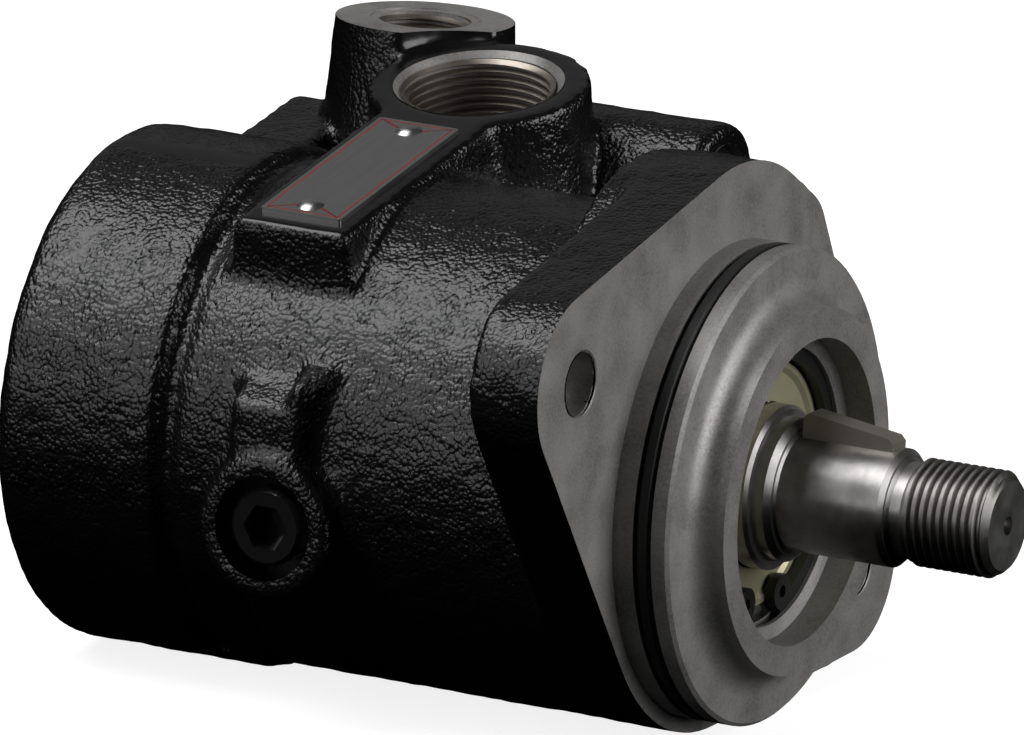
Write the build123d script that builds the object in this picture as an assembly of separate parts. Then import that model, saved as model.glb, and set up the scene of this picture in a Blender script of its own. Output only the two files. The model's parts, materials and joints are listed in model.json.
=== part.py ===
"""Hydraulic vane pump: flange-mounted, shaft-driven, with its flow-control valve in the housing.

The frame: the origin is the centre of the pilot on the face of the mounting flange, +X runs out of the
pump along the shaft, +Z is up through the pressure port, and -Y is the side with the hexagon socket plug.
"""
from build123d import *
from math import asin, atan2, cos, degrees, pi, radians, sin, sqrt, tan
import os

os.makedirs("parts", exist_ok=True)

# ---------------------------------------------------------------- fits and clearances
running_fit = 0.02          # radial clearance of a shaft or spool in its bore
seat_fit = 0.02             # radial clearance of a ring or plug that is pushed into its seat
side_play = 0.05            # axial play of the rotor, the vanes and the key
free_gap = 0.3              # gap between curved faces that only pass each other
ring_play = 0.25            # gap on each side of a rubber ring in its groove

# ---------------------------------------------------------------- mounting flange and pilot
flange_thickness = 12.5
bolt_circle = 120.0
bolt_angle = 155.3          # of the upper bolt, from +Y towards +Z
bolt_hole = 10.5
bolt_chamfer = 0.5
lobe_radius = 15.0
flange_foot_radius = 42.6
flange_head = (1.0, 14.0, 39.0)         # y, z and radius of the round top of the flange
flange_corner = (22.7, 32.8, 12.0)      # and of its far corner
step_thickness = 5.5
step_inset = 0.4
pilot_diameter = 80.0
pilot_length = 10.1
pilot_chamfer = 0.6
groove_start = 3.6
groove_width = 3.4
groove_depth = 2.3
nose_radius = 30.7
nose_front = 15.5
nose_fillet = 4.6

# ---------------------------------------------------------------- cast body
body_radius = 42.5
cup_radius = 43.9
cup_rear = -114.0
cup_edge = 3.0
valley_centre = -82.0
valley_width = 4.6
valley_floor = 1.4
valley_radius = 41.3
keel_length = 7.5
keel_angle = 12.0

# ---------------------------------------------------------------- chamber
chamber_radius = 36.0
chamber_front = -26.0
gallery_radius = 39.0       # of the suction gallery round the cam ring
gallery_width = 18.0
cover_radius = 38.0
cover_seat = -95.0
cover_thickness = 14.0
cover_recess = 5.0
cover_groove = 4.0          # from the cover's rear face to its ring
cover_clip_thickness = 1.9
cover_clip_seat = 1.3       # depth of the snap ring's groove in the bore
cover_clip_gap = 9.0

# ---------------------------------------------------------------- shaft, bearing and seal
shaft_bearing = 20.0
shaft_seat = 19.8
seat_end = 33.5
neck_diameter = 15.9
neck_end = 36.0
thread_diameter = 18.0
thread_chamfer = 1.5
shaft_end = 52.0
centre_drill = 3.2
collar_diameter = 27.6
collar_end = 11.0
shoulder_diameter = 24.0
shoulder_end = 14.2
bearing_outer = 47.0
bearing_width = 14.0
bearing_front = 7.2
ball_diameter = 7.9
ball_count = 8
race_wall = 3.6
mouth_radius = 25.7
mouth_floor = 9.8
clip_thickness = 1.75
clip_radial = 3.4
clip_groove = 1.25
clip_gap = 15.0             # angle between the two ears
ear_radius = 3.0
seal_outer = 35.0
seal_width = 7.0
seal_front = -8.0
shaft_passage = 21.0
key_width = 5.0
key_radius = 11.0
key_rear = 15.2
key_front = 31.6
key_height_rear = 3.9       # over the shaft
key_height_front = 1.5

# ---------------------------------------------------------------- pumping pack
front_plate_thickness = 12.0
cam_width = 26.0
pressure_plate_thickness = 16.0
cam_major = 28.6
cam_minor = 26.2
cam_clearance = 0.1
rotor_radius = 25.8
vane_count = 10
vane_thickness = 2.0
vane_length = 9.0
vane_reach = 26.12          # radius of the vane tips at rest
vane_stroke = cam_major - cam_minor
slot_floor = 13.6
spline_teeth = 12
spline_root = 9.0
spline_tip = 10.4
snap_ring_bore = 8.3
journal_diameter = 15.0
bush_wall = 1.5
bush_length = 12.0
dowel_diameter = 5.0
dowel_circle = 31.9
kidney_radius = 21.5
kidney_width = 5.0
kidney_span = 46.0
spring_wire = 3.0
spring_radius = 17.0
spring_turns = 2.5

# ---------------------------------------------------------------- ports, pad and name plate
face_tilt = 12.53           # of the suction face, from level towards -Y
face_lift = 2.0             # of the suction face over the round of the body
port_x = -65.8
suction_offset = 43.1       # of the suction port along the face, from above the shaft axis
suction_boss = 19.0
suction_mouth = 14.6
suction_thread = 26.0
suction_depth = 13.5
suction_bore = 22.0
suction_runout = 3.0         # of the plain bore below the thread
drill_angle = 118            # of the step between the two, left by the drill
boss_depth = 28.0
pad_width = 20.8
pad_front = -24.0
pad_draft = 7.0
pad_depth = 17.0
plate_length = 42.0
plate_width = 15.0
plate_thickness = 0.8
plate_centre = 0.8
rivet_spacing = 34.4
rivet_head = 2.3
rivet_shank = 1.2
pressure_place = (-87.6, 53.5, 58.0)
pressure_boss = 15.4
pressure_draft = 4.0
pressure_thread = 16.0
pressure_depth = 13.0
pressure_ring = 9.6
pressure_bore = 9.0
spot_face = 19.6

# ---------------------------------------------------------------- flow-control valve
valve_y = 53.0
valve_z = 35.2
chest_radius = 12.5
chest_front = -28.7
chest_rear = -100.0
spool_bore = 14.0
valve_bore_end = -92.0
valve_plug_diameter = 18.0
valve_plug_length = 9.5
valve_plug_sink = 1.5
valve_plug_hexagon = 10.0
socket_depth = 0.6          # of a plug's hexagon socket, as a share of its length
spool_length = 30.0
spool_travel = 9.0
spool_start = -43.5
spool_waist = 9.0
spool_stop = 3.5            # length of the nose that rests against the plug
valve_spring_wire = 1.4
valve_spring_radius = 4.6
valve_spring_turns = 4.5

# ---------------------------------------------------------------- side rib and plug
rib_centre = -62.0
rib_width = 13.0
rib_height = 3.5            # of the rib's flat front over the body
rib_top = 10.5
plug_x = -60.5
plug_z = -9.5
plug_boss = 12.0
plug_boss_height = 4.8      # of the boss round the plug over the body
plug_diameter = 13.2
plug_length = 8.0
plug_sink = 1.2
plug_hexagon = 7.0
spot_depth = 0.8
spot_diameter = 17.5

# ---------------------------------------------------------------- worked out from the above
face_height = body_radius + face_lift       # of the suction face over the shaft axis
rib_face = -(body_radius + rib_height)
plug_face = -(body_radius + plug_boss_height)
pilot_radius = pilot_diameter / 2
bearing_rear = bearing_front - bearing_width
bore_radius = bearing_outer / 2
cam_front = chamber_front - front_plate_thickness
cam_rear = cam_front - cam_width
plate_rear = cam_rear - pressure_plate_thickness
cover_rear = cover_seat - cover_thickness
bolt_places = [(bolt_circle / 2 * cos(radians(a)), bolt_circle / 2 * sin(radians(a)))
               for a in (bolt_angle, bolt_angle - 180)]
face_normal = (0, -sin(radians(face_tilt)), cos(radians(face_tilt)))
face_along = (0, cos(radians(face_tilt)), sin(radians(face_tilt)))


def on_face(s, height=0.0):
    """The point of the tilted suction face that lies s along it, on the ports' centre line."""
    level = face_height + height
    return Vector(port_x, level * face_normal[1] + s * face_along[1],
                  level * face_normal[2] + s * face_along[2])


def face_plane(s, height=0.0):
    return Plane(origin=on_face(s, height), x_dir=(1, 0, 0), z_dir=face_normal)


# ---------------------------------------------------------------- shared tools
def turned(*corners, angle=360):
    """A solid turned about the shaft axis from (x, radius) corners."""
    return revolve(make_face(Polyline(*corners, close=True)), Axis.X, angle)


def slab(sketch, x0, x1):
    """A sketch in y and z, extruded from x0 to x1."""
    return extrude(Plane.YZ.offset(x0) * sketch, x1 - x0)


def disc(radius, x0, x1, y=0.0, z=0.0):
    return slab(Pos(y, z) * Circle(radius), x0, x1)


def tube(outer, inner, x0, x1, y=0.0, z=0.0):
    return slab(Pos(y, z) * (Circle(outer) - Circle(inner)), x0, x1)


def hull(*rounds):
    """The outline stretched round several circles, each given as y, z and radius."""
    return make_hull([Pos(y, z) * Edge.make_circle(radius) for y, z, radius in rounds])


def drilled(start, direction, radius, depth):
    """A round cutter that starts at a point and runs along a direction."""
    return extrude(Plane(origin=start, z_dir=direction) * Circle(radius), depth)


def polar(radius, angle):
    """y and z at an angle from +Y towards +Z."""
    return radius * cos(radians(angle)), radius * sin(radians(angle))


def coil(radius, wire, turns, start, length, y=0.0, z=0.0):
    """A compression spring along X: one round-wire helix, clear of its two seats."""
    rise = length - wire - 2 * side_play
    path = Helix(pitch=rise / turns, height=rise, radius=radius)
    section = Plane(origin=path @ 0, z_dir=path % 0) * Circle(wire / 2)
    upright = sweep(section, path=path)
    return Pos(start + wire / 2 + side_play, y, z) * Rot(0, 90, 0) * upright


def save(name, *solids):
    shape = Compound(children=list(solids)) if len(solids) > 1 else solids[0]
    export_step(shape, f"parts/{name}.step")


# ---------------------------------------------------------------- housing
def flange():
    lobes = [(y, z, lobe_radius) for y, z in bolt_places]
    outline = hull(*lobes, (0, 0, flange_foot_radius), flange_head, flange_corner)
    plate = slab(outline, -flange_thickness, 0)
    head, corner = flange_head, flange_corner
    step = slab(hull((head[0], head[1], head[2] - step_inset), (corner[0], corner[1], corner[2] - step_inset),
                     (0, 0, body_radius - 1)), -flange_thickness - step_thickness, -flange_thickness)
    return plate + step


def cast_body():
    """The round body: a plain barrel in front, a valley, and a slightly larger cup behind."""
    half = valley_width / 2
    barrel = turned((cup_rear, 0), (cup_rear, cup_radius), (valley_centre - half, cup_radius),
                    (valley_centre - valley_floor / 2, valley_radius),
                    (valley_centre + valley_floor / 2, valley_radius),
                    (valley_centre + half, body_radius), (-flange_thickness, body_radius),
                    (-flange_thickness, 0))
    barrel = fillet(barrel.faces().sort_by(Axis.X)[0].edges(), cup_edge)
    keel = slab(Circle(cup_radius), valley_centre - half - 0.5, valley_centre - half + keel_length)
    wedge = make_face(Polyline((0, 0), polar(60, -104 - keel_angle), polar(60, -104 + keel_angle), close=True))
    return barrel + (keel & slab(wedge, cup_rear, 0))


def valve_chest():
    """The round chest of the flow-control valve, the web that carries it and the lug behind it."""
    chest = disc(chest_radius, chest_rear, chest_front, valve_y, valve_z)
    chest = fillet(chest.faces().sort_by(Axis.X)[-1].edges(), 1.5)
    web = slab(hull((valve_y - 1.5, valve_z - 9.5, 9), (0, 3, 30)), chest_rear + 3, chest_front - 6)
    lug = slab(hull((valve_y - 2, valve_z - 1.6, 8), (31, 31.5, 6), (0, 0, 30)), cup_rear + 2.5, cup_rear + 17)
    return chest + web + lug


def port_bosses():
    suction = extrude(face_plane(suction_offset) * Circle(suction_boss), -boss_depth)
    x, y, z = pressure_place
    pressure = extrude(Pos(x, y, z) * Circle(pressure_boss), -(z - valve_z), taper=-pressure_draft)
    spot = extrude(face_plane(suction_offset) * Circle(spot_face), 20)
    return suction + (pressure - spot)


def plate_pad():
    middle = (pad_front + suction_offset) / 2
    outline = Rectangle(pad_width, suction_offset - pad_front)
    pad = extrude(face_plane(middle) * outline, -pad_depth, taper=-pad_draft)
    rim = pad.faces().sort_by(Axis.Z)[-1].edges()
    return fillet(rim, 0.9)


def side_rib():
    """The upright rib with its sloping top, the round boss of the plug and the rib's lower run."""
    x0, x1 = rib_centre - rib_width / 2, rib_centre + rib_width / 2
    upright = Plane.YZ.offset(x0) * make_face(Polyline(
        (0, rib_top + 10), (-36, rib_top + 7), (rib_face, rib_top), (rib_face, plug_z - 6), (0, plug_z - 6),
        close=True))
    upper = extrude(upright, rib_width)
    flank = loft([Plane.XZ.offset(-rib_face) * Pos(x1 - 1, rib_top / 2 + 1) * Rectangle(2, rib_top + 6),
                  Plane.XZ.offset(36) * Pos(x1 + 1.5, rib_top / 2 + 3) * Rectangle(8, rib_top + 10)])
    boss = extrude(Plane(origin=(plug_x, plug_face, plug_z), z_dir=(0, 1, 0)) * Circle(plug_boss), 20, taper=-8)
    lower = disc(body_radius + 2, x0 + 0.5, x1) & slab(
        make_face(Polyline((0, 0), polar(70, 188), polar(70, 236), close=True)), x0, x1)
    return upper + flank + boss + lower


def nose():
    """The machined pilot, with the groove of its ring, and the nose round the bearing."""
    fillet_start = nose_radius + nose_fillet
    profile = Polyline((-1, 0), (-1, pilot_radius), (groove_start, pilot_radius),
                       (groove_start, pilot_radius - groove_depth),
                       (groove_start + groove_width, pilot_radius - groove_depth),
                       (groove_start + groove_width, pilot_radius),
                       (pilot_length - pilot_chamfer, pilot_radius),
                       (pilot_length, pilot_radius - pilot_chamfer), (pilot_length, fillet_start))
    cove = RadiusArc((pilot_length, fillet_start), (pilot_length + nose_fillet, nose_radius), -nose_fillet)
    tip = Polyline((pilot_length + nose_fillet, nose_radius), (nose_front, nose_radius), (nose_front, 0), (-1, 0))
    return revolve(make_face([*profile.edges(), cove, *tip.edges()]), Axis.X)


def housing():
    shape = cast_body() + flange() + valve_chest() + port_bosses() + plate_pad() + side_rib()
    above = extrude(face_plane(suction_offset) * Circle(spot_face), 20)
    shape = shape - above + nose()
    for y, z in bolt_places:
        hole = disc(bolt_hole / 2, -flange_thickness, 0, y, z)
        rim = loft([Plane.YZ.offset(-bolt_chamfer) * Pos(y, z) * Circle(bolt_hole / 2),
                    Plane.YZ * Pos(y, z) * Circle(bolt_hole / 2 + bolt_chamfer)])
        shape = shape - hole - rim
    groove_radius = bore_radius + clip_groove
    clip_front = bearing_front + clip_thickness + 0.1
    shape -= turned((cup_rear, 0), (cup_rear, cover_radius), (cover_seat, cover_radius),
                    (cover_seat, chamber_radius), (port_x - gallery_width / 2, chamber_radius),
                    (port_x - gallery_width / 2, gallery_radius), (port_x + gallery_width / 2, gallery_radius),
                    (port_x + gallery_width / 2, chamber_radius), (chamber_front, chamber_radius),
                    (chamber_front, shaft_passage / 2), (seal_front - seal_width, shaft_passage / 2),
                    (seal_front - seal_width, seal_outer / 2), (bearing_rear, seal_outer / 2),
                    (bearing_rear, bore_radius), (bearing_front, bore_radius), (bearing_front, groove_radius),
                    (clip_front, groove_radius), (clip_front, bore_radius), (mouth_floor, bore_radius),
                    (mouth_floor + 0.6, mouth_radius), (nose_front, mouth_radius), (nose_front, 0))
    shape -= tube(cover_radius + cover_clip_seat, cover_radius - cover_clip_seat,
                  cover_rear - cover_clip_thickness - 2 * side_play, cover_rear)
    return shape - port_cuts() - valve_cuts()


def port_cuts():
    down = tuple(-n for n in face_normal)
    suction = drilled(on_face(suction_offset), down, suction_thread / 2, suction_depth)
    suction += drilled(on_face(suction_offset), down, suction_bore / 2,
                       suction_depth + suction_runout)
    step_depth = (suction_thread - suction_bore) / 2 / tan(radians(drill_angle / 2))
    suction += loft([face_plane(suction_offset, -suction_depth) * Circle(suction_thread / 2),
                     face_plane(suction_offset, -suction_depth - step_depth) * Circle(suction_bore / 2)])
    mouth_depth = (suction_mouth - suction_thread / 2) / 2
    mouth = loft([face_plane(suction_offset) * Circle(suction_mouth),
                  face_plane(suction_offset, -mouth_depth - 1) * Circle(suction_thread / 2)])
    floor = on_face(suction_offset, -suction_depth - 1)
    inlet = drilled(floor, (0, -floor.Y, -floor.Z + 12), suction_bore / 2 - 2, 24)
    x, y, z = pressure_place
    pressure = drilled((x, y, z), (0, 0, -1), pressure_thread / 2, pressure_depth)
    pressure += drilled((x, y, z), (0, 0, -1), pressure_bore / 2, z - valve_z)
    ring = drilled((x, y, z), (0, 0, -1), pressure_ring, 0.3)
    return suction + mouth + inlet + pressure + ring


def valve_cuts():
    bore = disc(spool_bore / 2, valve_bore_end, chest_front, valve_y, valve_z)
    plug_end = chest_front - valve_plug_sink - valve_plug_length
    bore += disc(valve_plug_diameter / 2, plug_end, chest_front, valve_y, valve_z)
    inward = (0, -valve_y, -valve_z)
    for x in (cover_seat + 7, rib_centre + 4):
        bore += drilled((x, valve_y, valve_z), inward, 3.5, sqrt(valve_y ** 2 + valve_z ** 2) - chamber_radius + 1)
    plug = drilled((plug_x, plug_face, plug_z), (0, 1, 0), plug_diameter / 2 + seat_fit, plug_length + plug_sink)
    plug += drilled((plug_x, plug_face, plug_z), (0, 1, 0), spot_diameter / 2, spot_depth)
    plug += drilled((plug_x, plug_face, plug_z), (0, 1, 0), 3, 14)
    return bore + plug


# ---------------------------------------------------------------- rear closure
def rear_cover():
    r = cover_radius - seat_fit
    floor = cover_radius - groove_depth
    groove = cover_rear + cover_groove
    outer = [(cover_rear, r), (groove, r), (groove, floor), (groove + groove_width, floor),
             (groove + groove_width, r), (cover_seat, r), (cover_seat, 12), (cover_seat - 3, 12),
             (cover_seat - 3, 0)]
    dish = [(cover_rear + cover_recess, 0), (cover_rear + cover_recess, 27), (cover_rear, 31)]
    return turned(*outer, *dish)


def cover_snap_ring():
    """The open ring that holds the cover in its bore."""
    ring = Circle(cover_radius + cover_clip_seat - seat_fit) - Circle(cover_radius - 2 * cover_clip_seat)
    ring -= Pos(0, -cover_radius) * Rectangle(cover_clip_gap, 6 * cover_clip_seat)
    return slab(ring, cover_rear - cover_clip_thickness - side_play, cover_rear - side_play)


def ring_in(floor, wall, x0, width):
    """A rubber ring pressed between its groove's floor and the wall it seals against."""
    low, high = floor + seat_fit, wall - seat_fit
    x1, x2 = x0 + ring_play, x0 + width - ring_play
    ease = (high - low) / 3
    return turned((x1 + ease, low), (x2 - ease, low), (x2, low + ease), (x2, high - ease), (x2 - ease, high),
                  (x1 + ease, high), (x1, high - ease), (x1, low + ease))


# ---------------------------------------------------------------- shaft and bearing
def drive_shaft():
    end = shaft_end
    r = thread_diameter / 2
    bearing_r, seat_r, neck_r = shaft_bearing / 2, shaft_seat / 2, neck_diameter / 2
    rear = plate_rear + 3
    spline_rear, spline_front = cam_rear - 2, cam_front + 2
    blank = turned((rear, 0), (rear, journal_diameter / 2 - 0.5), (rear + 0.5, journal_diameter / 2),
                   (spline_rear, journal_diameter / 2), (spline_rear, spline_root), (spline_front, spline_root),
                   (spline_front, bearing_r - 0.1), (bearing_rear - 0.5, bearing_r - 0.1), (bearing_rear, bearing_r),
                   (bearing_front, bearing_r), (bearing_front, collar_diameter / 2 - 0.4),
                   (bearing_front + 0.4, collar_diameter / 2), (collar_end - 0.6, collar_diameter / 2),
                   (collar_end, collar_diameter / 2 - 0.6), (collar_end, shoulder_diameter / 2),
                   (shoulder_end - 1, shoulder_diameter / 2), (shoulder_end, shoulder_diameter / 2 - 1),
                   (shoulder_end, seat_r + 0.4), (shoulder_end + 0.4, seat_r), (seat_end - 0.8, seat_r),
                   (seat_end, seat_r - 0.8), (seat_end, neck_r + 0.6), (seat_end + 0.6, neck_r), (neck_end, neck_r),
                   (neck_end + 0.8, r), (end - thread_chamfer, r), (end, r - thread_chamfer), (end, 0))
    tooth = Pos((spline_root + spline_tip) / 2 - 0.3, 0) * Rectangle(spline_tip - spline_root + 0.6, 2.2)
    teeth = slab(Sketch() + [Rot(0, 0, 360 / spline_teeth * i) * tooth for i in range(spline_teeth)],
                 spline_rear, spline_front)
    drill = Pos(end, 0, 0) * Rot(0, 90, 0) * Pos(0, 0, -2) * Cone(0.4, centre_drill / 2, 4)
    ring_groove = tube(spline_tip + 1, snap_ring_bore, cam_rear - 1.85, cam_rear)
    return blank + teeth - ring_groove - drill - key_blank(side_play)


def key_blank(gap=0.0):
    """The half-moon of the key, grown by a gap for its seat in the shaft."""
    seat_r = shaft_seat / 2
    middle = (key_rear + key_front) / 2
    chord = (key_front - key_rear) / 2
    round_part = Pos(middle, seat_r + 0.3) * Circle(chord + gap)
    below = Pos(middle, seat_r - 20) * Rectangle(60, 40)
    body = round_part & below
    top = make_face(Polyline((key_rear, seat_r - 0.5), (key_rear, seat_r + key_height_rear - 0.8),
                             (key_rear + 0.8, seat_r + key_height_rear),
                             (key_front - 0.8, seat_r + key_height_front + 0.3),
                             (key_front, seat_r + key_height_front - 0.6), (key_front, seat_r - 0.5), close=True))
    flat = body & (Pos(middle, seat_r - 10 + 5.6) * Rectangle(60, 20))
    outline = Plane.XZ * (flat + top)
    return Pos(0, (key_width + 2 * gap) / 2, 0) * extrude(outline, key_width + 2 * gap)


def bearing():
    """Outer ring, inner ring, balls, cage and front shield."""
    inner_r, outer_r = shaft_bearing / 2, bore_radius
    pitch = (inner_r + outer_r) / 2
    middle = bearing_rear + bearing_width / 2
    track = revolve(Pos(middle, pitch) * Circle(ball_diameter / 2 + 0.04), Axis.X)
    outer = turned((bearing_rear, outer_r - race_wall), (bearing_rear, outer_r - seat_fit),
                   (bearing_front, outer_r - seat_fit), (bearing_front, outer_r - race_wall + 0.8),
                   (bearing_front - 1.4, outer_r - race_wall + 0.8), (bearing_front - 1.4, outer_r - race_wall)) - track
    inner = tube(inner_r + race_wall, inner_r + seat_fit, bearing_rear, bearing_front) - track
    balls = [Pos(middle, *polar(pitch, 360 / ball_count * i)) * Sphere(ball_diameter / 2)
             for i in range(ball_count)]
    cage = tube(pitch + 1.4, pitch - 1.4, middle - 4.9, middle + 4.9)
    for i in range(ball_count):
        cage -= Pos(middle, *polar(pitch, 360 / ball_count * i)) * Sphere(ball_diameter / 2 + 0.08)
    shield_out = outer_r - race_wall + 0.8 - seat_fit
    shield = turned((bearing_front - 1.4, inner_r + race_wall + free_gap), (bearing_front - 1.4, shield_out),
                    (bearing_front - 0.1, shield_out), (bearing_front - 0.1, shield_out - 0.9),
                    (bearing_front - 0.7, shield_out - 1.7), (bearing_front - 0.4, inner_r + race_wall + free_gap))
    return outer, inner, balls, cage, shield


def retaining_clip():
    """The internal snap ring in front of the bearing, open at the bottom between two drilled ears."""
    x0 = bearing_front + 0.05
    outer = bore_radius + clip_groove - 0.15
    ring = Circle(outer) - Circle(outer - clip_radial)
    ring -= make_face(Polyline((0, 0), polar(40, -90 - clip_gap), polar(40, -90 + clip_gap), close=True))
    ears = Sketch()
    for side in (-1, 1):
        y, z = polar(outer - ear_radius - 1.4, -90 + side * (clip_gap + 4))
        ears += Pos(y, z) * Circle(ear_radius)
    ring = (ring + ears) & Circle(outer)
    for side in (-1, 1):
        y, z = polar(outer - ear_radius - 1.4, -90 + side * (clip_gap + 4))
        ring -= Pos(y, z) * Circle(1.1)
    return slab(ring, x0, x0 + clip_thickness)


def shaft_seal():
    front, rear = seal_front, seal_front - seal_width
    r, lip = seal_outer / 2 - seat_fit, shaft_bearing / 2 - 0.1 + 0.03
    return turned((rear, r - 1.2), (rear, r), (front, r), (front, lip + 2.5), (front - 1.2, lip + 2.5),
                  (front - 2.2, lip), (front - 3, lip), (rear + 1, lip + 2.2), (rear + 1, r - 1.2))


# ---------------------------------------------------------------- pumping pack
def dowels():
    return [disc(dowel_diameter / 2 - seat_fit, plate_rear + 6, chamber_front - 3, *polar(dowel_circle, a))
            for a in (0, 180)]


def dowel_holes(x0, x1):
    holes = [disc(dowel_diameter / 2, x0, x1, *polar(dowel_circle, a)) for a in (0, 180)]
    return holes[0] + holes[1]


def kidney(angle, x0, x1):
    """One curved port slot, round at both ends."""
    half = kidney_span / 2
    sweep_ring = Circle(kidney_radius + kidney_width / 2) - Circle(kidney_radius - kidney_width / 2)
    sector = make_face(Polyline((0, 0), polar(60, angle - half), polar(60, angle + half), close=True))
    slot = sweep_ring & sector
    for side in (-half, half):
        slot += Pos(*polar(kidney_radius, angle + side)) * Circle(kidney_width / 2)
    return slab(slot, x0, x1)


def cam_ring():
    ring = slab(Circle(chamber_radius - cam_clearance) - Ellipse(cam_major, cam_minor), cam_rear, cam_front)
    return ring - dowel_holes(cam_rear, cam_front)


def front_port_plate():
    plate = tube(chamber_radius - cam_clearance, shaft_passage / 2, cam_front, chamber_front)
    plate -= dowel_holes(cam_front, chamber_front - 2)
    for angle in (45, 225):
        plate -= kidney(angle, cam_front, cam_front + 4)
    return plate


def pressure_plate():
    bush_r = journal_diameter / 2 + running_fit + bush_wall + seat_fit
    plate = tube(chamber_radius - cam_clearance, bush_r, plate_rear, cam_rear)
    plate -= tube(rotor_radius, bush_r, plate_rear, plate_rear + 3)
    plate -= disc(spline_tip + 0.8, cam_rear - 2.4, cam_rear)
    plate -= dowel_holes(plate_rear + 5, cam_rear)
    for angle in (135, 315):
        plate -= kidney(angle, plate_rear, cam_rear)
    for angle in (45, 225):
        plate -= kidney(angle, cam_rear - 4, cam_rear)
    return plate


def shaft_bush():
    return tube(journal_diameter / 2 + running_fit + bush_wall, journal_diameter / 2 + running_fit,
                plate_rear + 1, plate_rear + 1 + bush_length)


def rotor():
    body = Circle(rotor_radius)
    slot_width = vane_thickness + 2 * running_fit
    tooth = Pos((spline_root + spline_tip) / 2, 0) * Rectangle(spline_tip - spline_root + 0.3, 2.3)
    bore = Circle(spline_root + 0.04) + [Rot(0, 0, 360 / spline_teeth * i) * tooth for i in range(spline_teeth)]
    for i in range(vane_count):
        slot = Pos((rotor_radius + slot_floor) / 2 + 1, 0) * Rectangle(rotor_radius - slot_floor + 2, slot_width)
        foot = Pos(slot_floor, 0) * Circle(1.6)
        body -= Rot(0, 0, 360 / vane_count * i + 18) * (slot + foot)
    return slab(body - bore, cam_rear + side_play, cam_front - side_play)


def vane(i):
    blank = Pos(vane_reach - vane_length / 2, 0) * Rectangle(vane_length, vane_thickness)
    tip = Pos(vane_reach - 1.6, 0) * Circle(1.6)
    rounded = (blank & (Pos(vane_reach - vane_length / 2 - 0.9, 0) * Rectangle(vane_length - 1.6, 4))) + (
        blank & tip)
    return slab(Rot(0, 0, 360 / vane_count * i + 18) * rounded, cam_rear + 2 * side_play, cam_front - 2 * side_play)


def rotor_snap_ring():
    ring = tube(spline_tip + 0.5, snap_ring_bore + seat_fit, cam_rear - 1.8, cam_rear)
    gap = slab(Pos(0, spline_tip) * Rectangle(6, 6), cam_rear - 2, cam_rear)
    return ring - gap


# ---------------------------------------------------------------- flow-control valve
def valve_spool():
    r = spool_bore / 2 - running_fit
    x1, x0 = spool_start, spool_start - spool_length
    profile = turned((x0, 3.2), (x0, r), (x0 + 9, r), (x0 + 9, spool_waist / 2), (x0 + 17, spool_waist / 2),
                     (x0 + 17, r), (x1 - 0.5, r), (x1, r - 0.5), (x1, 3.2), (x1 + spool_stop, 2.8),
                     (x1 + spool_stop, 0), (x0 + 15, 0), (x0 + 15, 1.2), (x0 + 12.5, 3.2))
    for x in (x1 - 5.5, x1 - 8):
        profile -= tube(r + 1, r - 0.5, x - 0.8, x)
    return Pos(0, valve_y, valve_z) * profile


def relief_parts():
    x0 = spool_start - spool_length
    ball = Pos(x0 + 11.6, valve_y, valve_z) * Sphere(2.0)
    screw = Pos(0, valve_y, valve_z) * turned((x0, 1.0), (x0, 3.2 - seat_fit), (x0 + 4, 3.2 - seat_fit),
                                              (x0 + 4, 1.0))
    spring = coil(2.0, 0.7, 3, x0 + 4, 5.6, valve_y, valve_z)
    return ball, screw, spring


def socket_plug(diameter, length, hexagon):
    """A headless plug along +Z with its socket on top, its top face at z = 0."""
    r = diameter / 2
    outline = Polyline((0, 0), (r - 0.7, 0), (r, -0.7), (r, -length + 0.7), (r - 0.7, -length), (0, -length),
                       close=True)
    plug = revolve(Plane.XZ * make_face(outline), Axis.Z)
    return plug - extrude(RegularPolygon(hexagon / 2, 6, major_radius=False), -length * socket_depth)


# ---------------------------------------------------------------- name plate
def name_plate():
    plate = extrude(face_plane(plate_centre) * RectangleRounded(plate_width, plate_length, 0.4), plate_thickness)
    for side in (-1, 1):
        plate -= extrude(face_plane(plate_centre + side * rivet_spacing / 2) * Circle(rivet_shank),
                         plate_thickness)
    return plate


def rivets():
    """Two drive rivets with low domed heads."""
    heads = []
    for side in (-1, 1):
        place = face_plane(plate_centre + side * rivet_spacing / 2, plate_thickness)
        dome_height = 0.9
        ball_r = (rivet_head ** 2 + dome_height ** 2) / (2 * dome_height)
        dome = place * (Pos(0, 0, dome_height - ball_r) * Sphere(ball_r) & Pos(0, 0, 1.5) * Box(8, 8, 3))
        shank = extrude(face_plane(plate_centre + side * rivet_spacing / 2, -3.2)
                        * Circle(rivet_shank - 0.01), plate_thickness + 3.3)
        heads.append(dome + shank)
    return heads


def rivet_holes():
    return [extrude(face_plane(plate_centre + side * rivet_spacing / 2, -3.5) * Circle(rivet_shank), 3.5)
            for side in (-1, 1)]


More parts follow.
